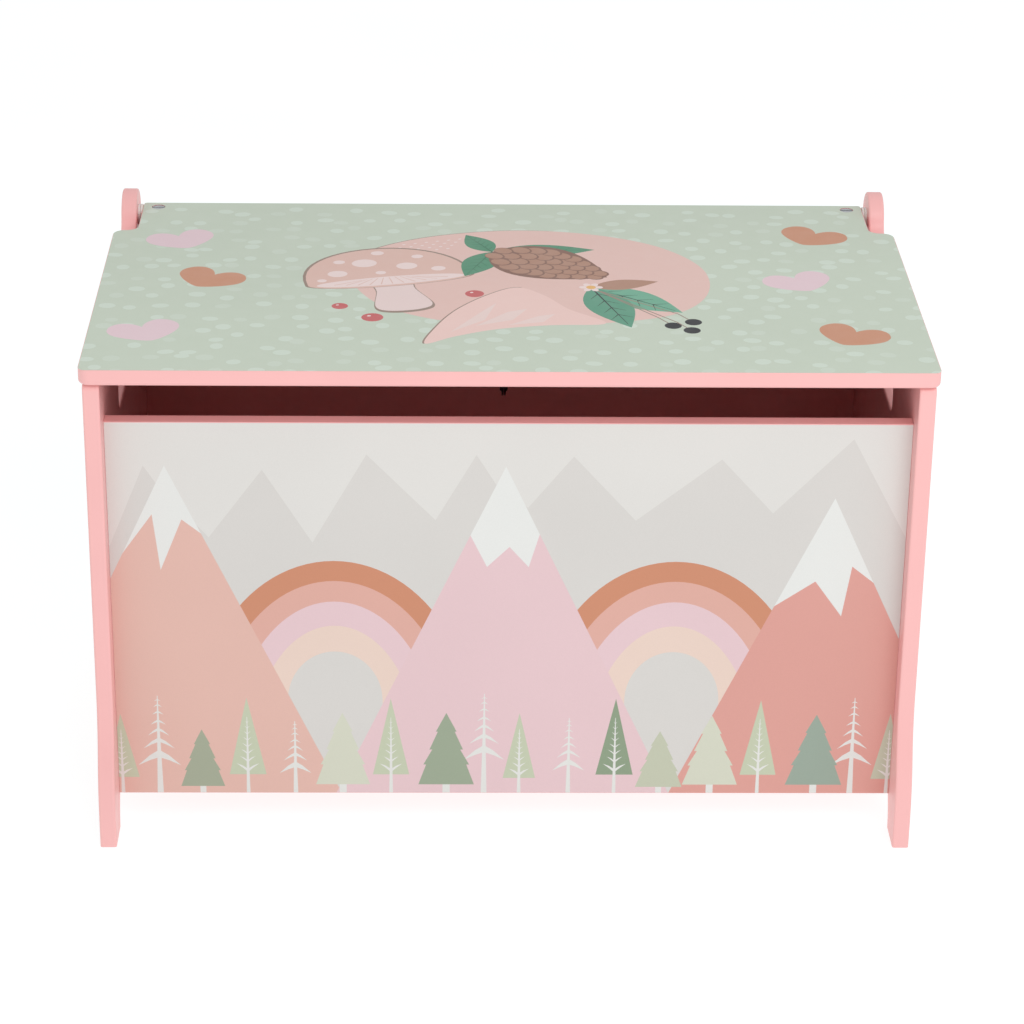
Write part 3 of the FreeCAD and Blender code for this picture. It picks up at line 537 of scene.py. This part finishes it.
# ---------------------------------------------------------------- lid picture
low, high = (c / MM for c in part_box("lid_panel"))
TOP_Z = high.z
SHOULDER_Y = 111.0  # where the lid steps in to its narrow rear part
NARROW = 282.0  # half the width of the narrow part
NUT_HOLE = 5.25  # radius left open in the film over each pivot nut
half_wide = high.x - BOARD_ROUND
half_narrow = NARROW - BOARD_ROUND
front_y, shoulder_y, rear_y = low.y + BOARD_ROUND, SHOULDER_Y - BOARD_ROUND, high.y - BOARD_ROUND

lid_outline = rounded([
    (-half_wide, front_y, 5), (half_wide, front_y, 5), (half_wide, shoulder_y, 8),
    (half_narrow, shoulder_y, 9), (half_narrow, rear_y, 2), (-half_narrow, rear_y, 2),
    (-half_narrow, shoulder_y, 9), (-half_wide, shoulder_y, 8)])
nut_low, nut_high = (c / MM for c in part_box("left_pivot_nut"))
nut_y = (nut_low.y + nut_high.y) / 2
nut_x = (nut_low.x + nut_high.x) / 2
lid_holes = [ellipse(side * abs(nut_x), nut_y, NUT_HOLE, steps=32) for side in (-1, 1)]

HALF_HEART = [(0, 8), (1.6, 10.8), (6.5, 16), (14, 18.5), (21.5, 15.5), (26, 7.5), (24.5, -1.5),
              (17, -10), (7.5, -16.5), (1.5, -19)]


def heart(x, y, turn):
    """A heart with a blunt tip, 52 mm wide."""
    left = [(-u, v) for u, v in HALF_HEART[:0:-1]]
    return placed(smooth(HALF_HEART + left, 6), x, y, turn)


def lens(length, width, steps=14):
    """Leaf outline from (0, 0) to (length, 0)."""
    upper = [(length * k / steps, width / 2 * math.sin(math.pi * (k / steps) ** 0.85))
             for k in range(steps + 1)]
    return upper[::-1] + [(u, -v) for u, v in upper[1:-1]]


lid = []
draw = random.Random(7)
PITCH = 22.5  # between dots in a row
ROW_PITCH = PITCH * 0.9
DOT_ROWS, DOT_COLUMNS = 17, 29
DOT_LEFT, DOT_FRONT = -312, -172
for row in range(DOT_ROWS):
    for column in range(DOT_COLUMNS):
        x = DOT_LEFT + PITCH * (column + 0.5 * (row % 2)) + draw.uniform(-8, 8)
        y = DOT_FRONT + ROW_PITCH * row + draw.uniform(-7, 7)
        colour = draw.choice(("dot", "dot", "dot_faint"))
        dot = ellipse(x, y, draw.uniform(4.6, 6.6), draw.uniform(3.7, 5.3), draw.uniform(-15, 15), 16)
        lid.append((colour, dot))
for x, y, colour, turn in (
        (-246.5, 90, "heart_pink", 20), (-259, -98, "heart_pink", 20), (217, 5, "heart_pink", 20),
        (-220, 8, "heart_brown", -26), (236.5, 102, "heart_brown", -26), (245, -102, "heart_brown", -26)):
    lid.append((colour, heart(x, y, turn)))

# a rounded pink hill behind the woodland things
HILL = [(-120, 30), (-102, 68), (-58, 98), (4, 113), (64, 106), (116, 79), (147, 32), (147, -22), (120, -62),
        (66, -80), (4, -84), (-52, -74), (-98, -38)]
hill = smooth(HILL, 10)
lid.append(("taupe", ribbon(hill[-4:] + hill[:36], 2.6, 0.6)))
lid.append(("cloud", hill))
for row in range(4):
    for column in range(6):
        x, y = -86 + 8.5 * column + 3 * row, 60 + 7.0 * row + 2.6 * column
        lid.append(("chalk", ellipse(x, y, 1.5, 1.0, 30, 10)))

# toadstool
LEAN = 13
STOOL = (-86, 6)
cap = [(62 * math.cos(math.pi * k / 24), 66 * math.sin(math.pi * k / 24) ** 0.86) for k in range(25)]
cap += [(-62 * math.cos(math.pi * k / 16), -13 * math.sin(math.pi * k / 16)) for k in range(1, 16)]
stem = smooth([(-13, 0), (13, 0), (14, -22), (20, -52), (10, -62), (-12, -62), (-22, -52), (-15, -22)], 6)
lid.append(("taupe", placed(stem, *STOOL, LEAN, 1.06)))
lid.append(("stem", placed(stem, *STOOL, LEAN)))
lid.append(("taupe", placed([(u * 1.035, v * 1.03) for u, v in cap], *STOOL, LEAN)))
lid.append(("cap", placed(cap, *STOOL, LEAN)))
gills = [(56 * math.cos(2 * math.pi * k / 40), -1.5 + 8.5 * math.sin(2 * math.pi * k / 40))
         for k in range(40)]
lid.append(("chalk", placed(gills, *STOOL, LEAN)))
for k in range(-5, 6):
    line = ribbon([(k * 4.2, 5.5 - 0.1 * k * k), (k * 8.6, -8.0 + 0.22 * k * k)], 0.5, 0.9)
    lid.append(("cap", placed(line, *STOOL, LEAN)))
for u, v, r in ((-36, 20, 7.5), (-12, 38, 9.5), (18, 26, 8), (40, 16, 5.5), (2, 57, 5), (-30, 44, 4.5),
                (30, 44, 4.5), (-50, 8.5, 3.6), (-4, 16, 4)):
    lid.append(("chalk", placed(ellipse(u, v, r, r * 0.86), *STOOL, LEAN)))

# long pale leaf that sweeps down to the left
LEAF = [(-60, -120), (-52, -88), (-37, -54), (-14, -24), (8, -9), (28, -26), (44, -52), (70, -80),
        (30, -84), (-8, -92), (-38, -106)]
leaf = smooth(LEAF, 8)
lid.append(("taupe", ribbon(leaf[:34], 2.8, 1.2)))
lid.append(("petal", leaf))
for a, b, c in (
        ((-42, -98), (-18, -56), (-8, -40)), ((-24, -86), (0, -58), (14, -52)),
        ((0, -84), (22, -66), (34, -62))):
    lid.append(("petal_light", [a, b, c, ((a[0] + c[0]) / 2 + 8, (a[1] + c[1]) / 2 - 5)]))

# pine cone, with three leaves behind its stalk end
TILT = -32
CONE = (-10, 66)
for angle, length, width in ((4, 78, 27), (118, 42, 22), (-112, 56, 26)):
    lid.append(("leaf_green", placed(lens(length, width), *CONE, angle)))
    lid.append(("leaf_vein", placed(ribbon([(0, 0), (length * 0.94, 0)], 1.4, 0.4), *CONE, angle)))
    for k in range(1, 6):
        for side in (-1, 1):
            tip = (length * (0.14 * k + 0.1), side * width * 0.27)
            vein = ribbon([(length * 0.14 * k, 0), tip], 0.8, 0.3)
            lid.append(("leaf_vein", placed(vein, *CONE, angle)))
CONE_LONG, CONE_HALF, CONE_ROWS = 100.0, 33.0, 9


def cone_reach(t):
    """Half width of the cone at the share t of its length."""
    return CONE_HALF * math.sin(math.pi * t ** 0.75) ** 0.8


body = [(CONE_LONG * k / 16, cone_reach(k / 16)) for k in range(1, 16)]
outline = [(0, 0)] + [(u, -v) for u, v in body] + [(CONE_LONG, 0)] + body[::-1]
lid.append(("cone_dark", placed(outline, *CONE, TILT)))
for row in reversed(range(CONE_ROWS)):
    t = (row + 0.6) / (CONE_ROWS + 0.4)
    u, reach = CONE_LONG * t, cone_reach(t)
    count = max(1, round(reach / 7.5))
    count += (count + row) % 2
    for k in range(count):
        v = reach * 0.86 * (2 * (k + 0.5) / count - 1)
        size = 8.2 - 0.35 * abs(row - 3)
        rim = ellipse(u, v, size + 0.9, size * 0.8 + 0.9, 0, 14)
        scale = ellipse(u - 0.7, v, size, size * 0.8, 0, 14)
        lid.append(("cone_dark", placed(rim, *CONE, TILT)))
        lid.append(("cone", placed(scale, *CONE, TILT)))

# sprig of leaves with berries and a small flower
SPRIG = (62, -8)
for angle, length, width, key in ((-38, 82, 34, "teal"), (-72, 84, 34, "teal_dark"), (14, 52, 20, "cone")):
    lid.append((key, placed(lens(length, width), *SPRIG, angle)))
    if key != "cone":
        lid.append(("ink", placed(ribbon([(0, 0), (length * 0.92, 0)], 1.5, 0.4), *SPRIG, angle)))
        for k in range(1, 5):
            for side in (-1, 1):
                tip = (length * (0.17 * k + 0.1), side * width * 0.25)
                vein = ribbon([(length * 0.17 * k, 0), tip], 0.8, 0.3)
                lid.append(("ink", placed(vein, *SPRIG, angle)))
for x, y in ((118, -84), (131, -93), (133, -77)):
    lid.append(("taupe", ribbon([(66, -14), (x - 10, y + 16), (x, y)], 1.2, 0.9)))
    lid.append(("ink", ellipse(x, y, 6.2)))
for x, y, r in ((-98, -70, 8), (-122, -48, 6), (-24, -22, 7.0)):
    lid.append(("berry", ellipse(x, y, r)))
    lid.append(("chalk", ellipse(x - r * 0.3, y + r * 0.35, r * 0.2, r * 0.16, 30, 10)))
PETALS, PETAL_OUT = 6, 5.6
for k in range(PETALS):
    angle = 2 * math.pi * k / PETALS
    x, y = SPRIG[0] + PETAL_OUT * math.cos(angle), SPRIG[1] + PETAL_OUT * math.sin(angle)
    lid.append(("chalk", ellipse(x, y, 3.3, 2.6, math.degrees(angle), 14)))
lid.append(("ochre", ellipse(*SPRIG, 3.6)))

lid_inks = {key: ink("print_" + key, rgb, TOP_LIGHT) for key, rgb in LID_INK.items()}
lid_inks["base"] = lid_inks.pop("sage")
lid_film = film(
    "lid_print", lid_outline, lid_holes, lid, lid_inks,
    lambda u, v, h: Vector((u, v, TOP_Z + h)) * MM)
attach(lid_film, "lid")

# ---------------------------------------------------------------- studio
scene = bpy.context.scene
scene.view_settings.view_transform = "Standard"

FLOOR_SIZE = 30
FLOOR_DROP = 0.0002  # keeps the floor just clear of the feet
bpy.ops.mesh.primitive_plane_add(size=FLOOR_SIZE, location=(0, 0, -FLOOR_DROP))
floor = bpy.context.object
floor.name = "studio_floor"
m, tree, shader, where = node_material("studio_floor")
ground = two_tone(tree, noise(tree, where, 3.0, 2.0), (0.25, 0.31, 0.31), (0.27, 0.33, 0.33))
tree.links.new(ground, shader.inputs["Base Color"])
shader.inputs["Roughness"].default_value = 0.9
shader.inputs["Specular IOR Level"].default_value = 0.1
shader.inputs["Emission Color"].default_value = (1, 1, 1, 1)
shader.inputs["Emission Strength"].default_value = 0.8
floor.data.materials.append(m)

world = bpy.data.worlds.new("studio")
scene.world = world
world.use_nodes = True
world.node_tree.nodes["Background"].inputs["Color"].default_value = (1, 1, 1, 1)
world.node_tree.nodes["Background"].inputs["Strength"].default_value = 0.72


def softbox(name, place, aim, width, height, power):
    data = bpy.data.lights.new(name, "AREA")
    data.shape = "RECTANGLE"
    data.size, data.size_y = width, height
    data.energy = power
    light = bpy.data.objects.new(name, data)
    light.location = place
    light.rotation_euler = (Vector(aim) - Vector(place)).to_track_quat("-Z", "Y").to_euler()
    scene.collection.objects.link(light)


KEY_PLACE, KEY_AIM = (0.5, -1.35, 1.45), (0, 0, 0.25)
KEY_WIDTH, KEY_HEIGHT, KEY_WATTS = 1.2, 0.8, 9.8
softbox("key", KEY_PLACE, KEY_AIM, KEY_WIDTH, KEY_HEIGHT, KEY_WATTS)

# ---------------------------------------------------------------- camera
# angles, place and lens come from a perspective fit to the photograph
PITCH_DOWN, YAW, ROLL = 0.434134, -0.023500, 0.012743  # radians
CAMERA_PLACE = (-0.0474, -2.2727, 1.2405)
LENS = 115.37  # mm, on a sensor 36 mm wide
camera_data = bpy.data.cameras.new("camera")
camera_data.sensor_width = 36
camera_data.lens = LENS
camera = bpy.data.objects.new("camera", camera_data)
scene.collection.objects.link(camera)
scene.camera = camera
across = Vector((math.cos(YAW), math.sin(YAW), 0))
ahead = Vector((-math.sin(YAW), math.cos(YAW), 0))
up = Vector((0, 0, 1))
forward = math.cos(PITCH_DOWN) * ahead - math.sin(PITCH_DOWN) * up
head = math.sin(PITCH_DOWN) * ahead + math.cos(PITCH_DOWN) * up
right = math.cos(ROLL) * across + math.sin(ROLL) * head
top = -math.sin(ROLL) * across + math.cos(ROLL) * head
turn = Matrix((right, top, -forward)).transposed().to_4x4()
camera.matrix_world = Matrix.Translation(CAMERA_PLACE) @ turn
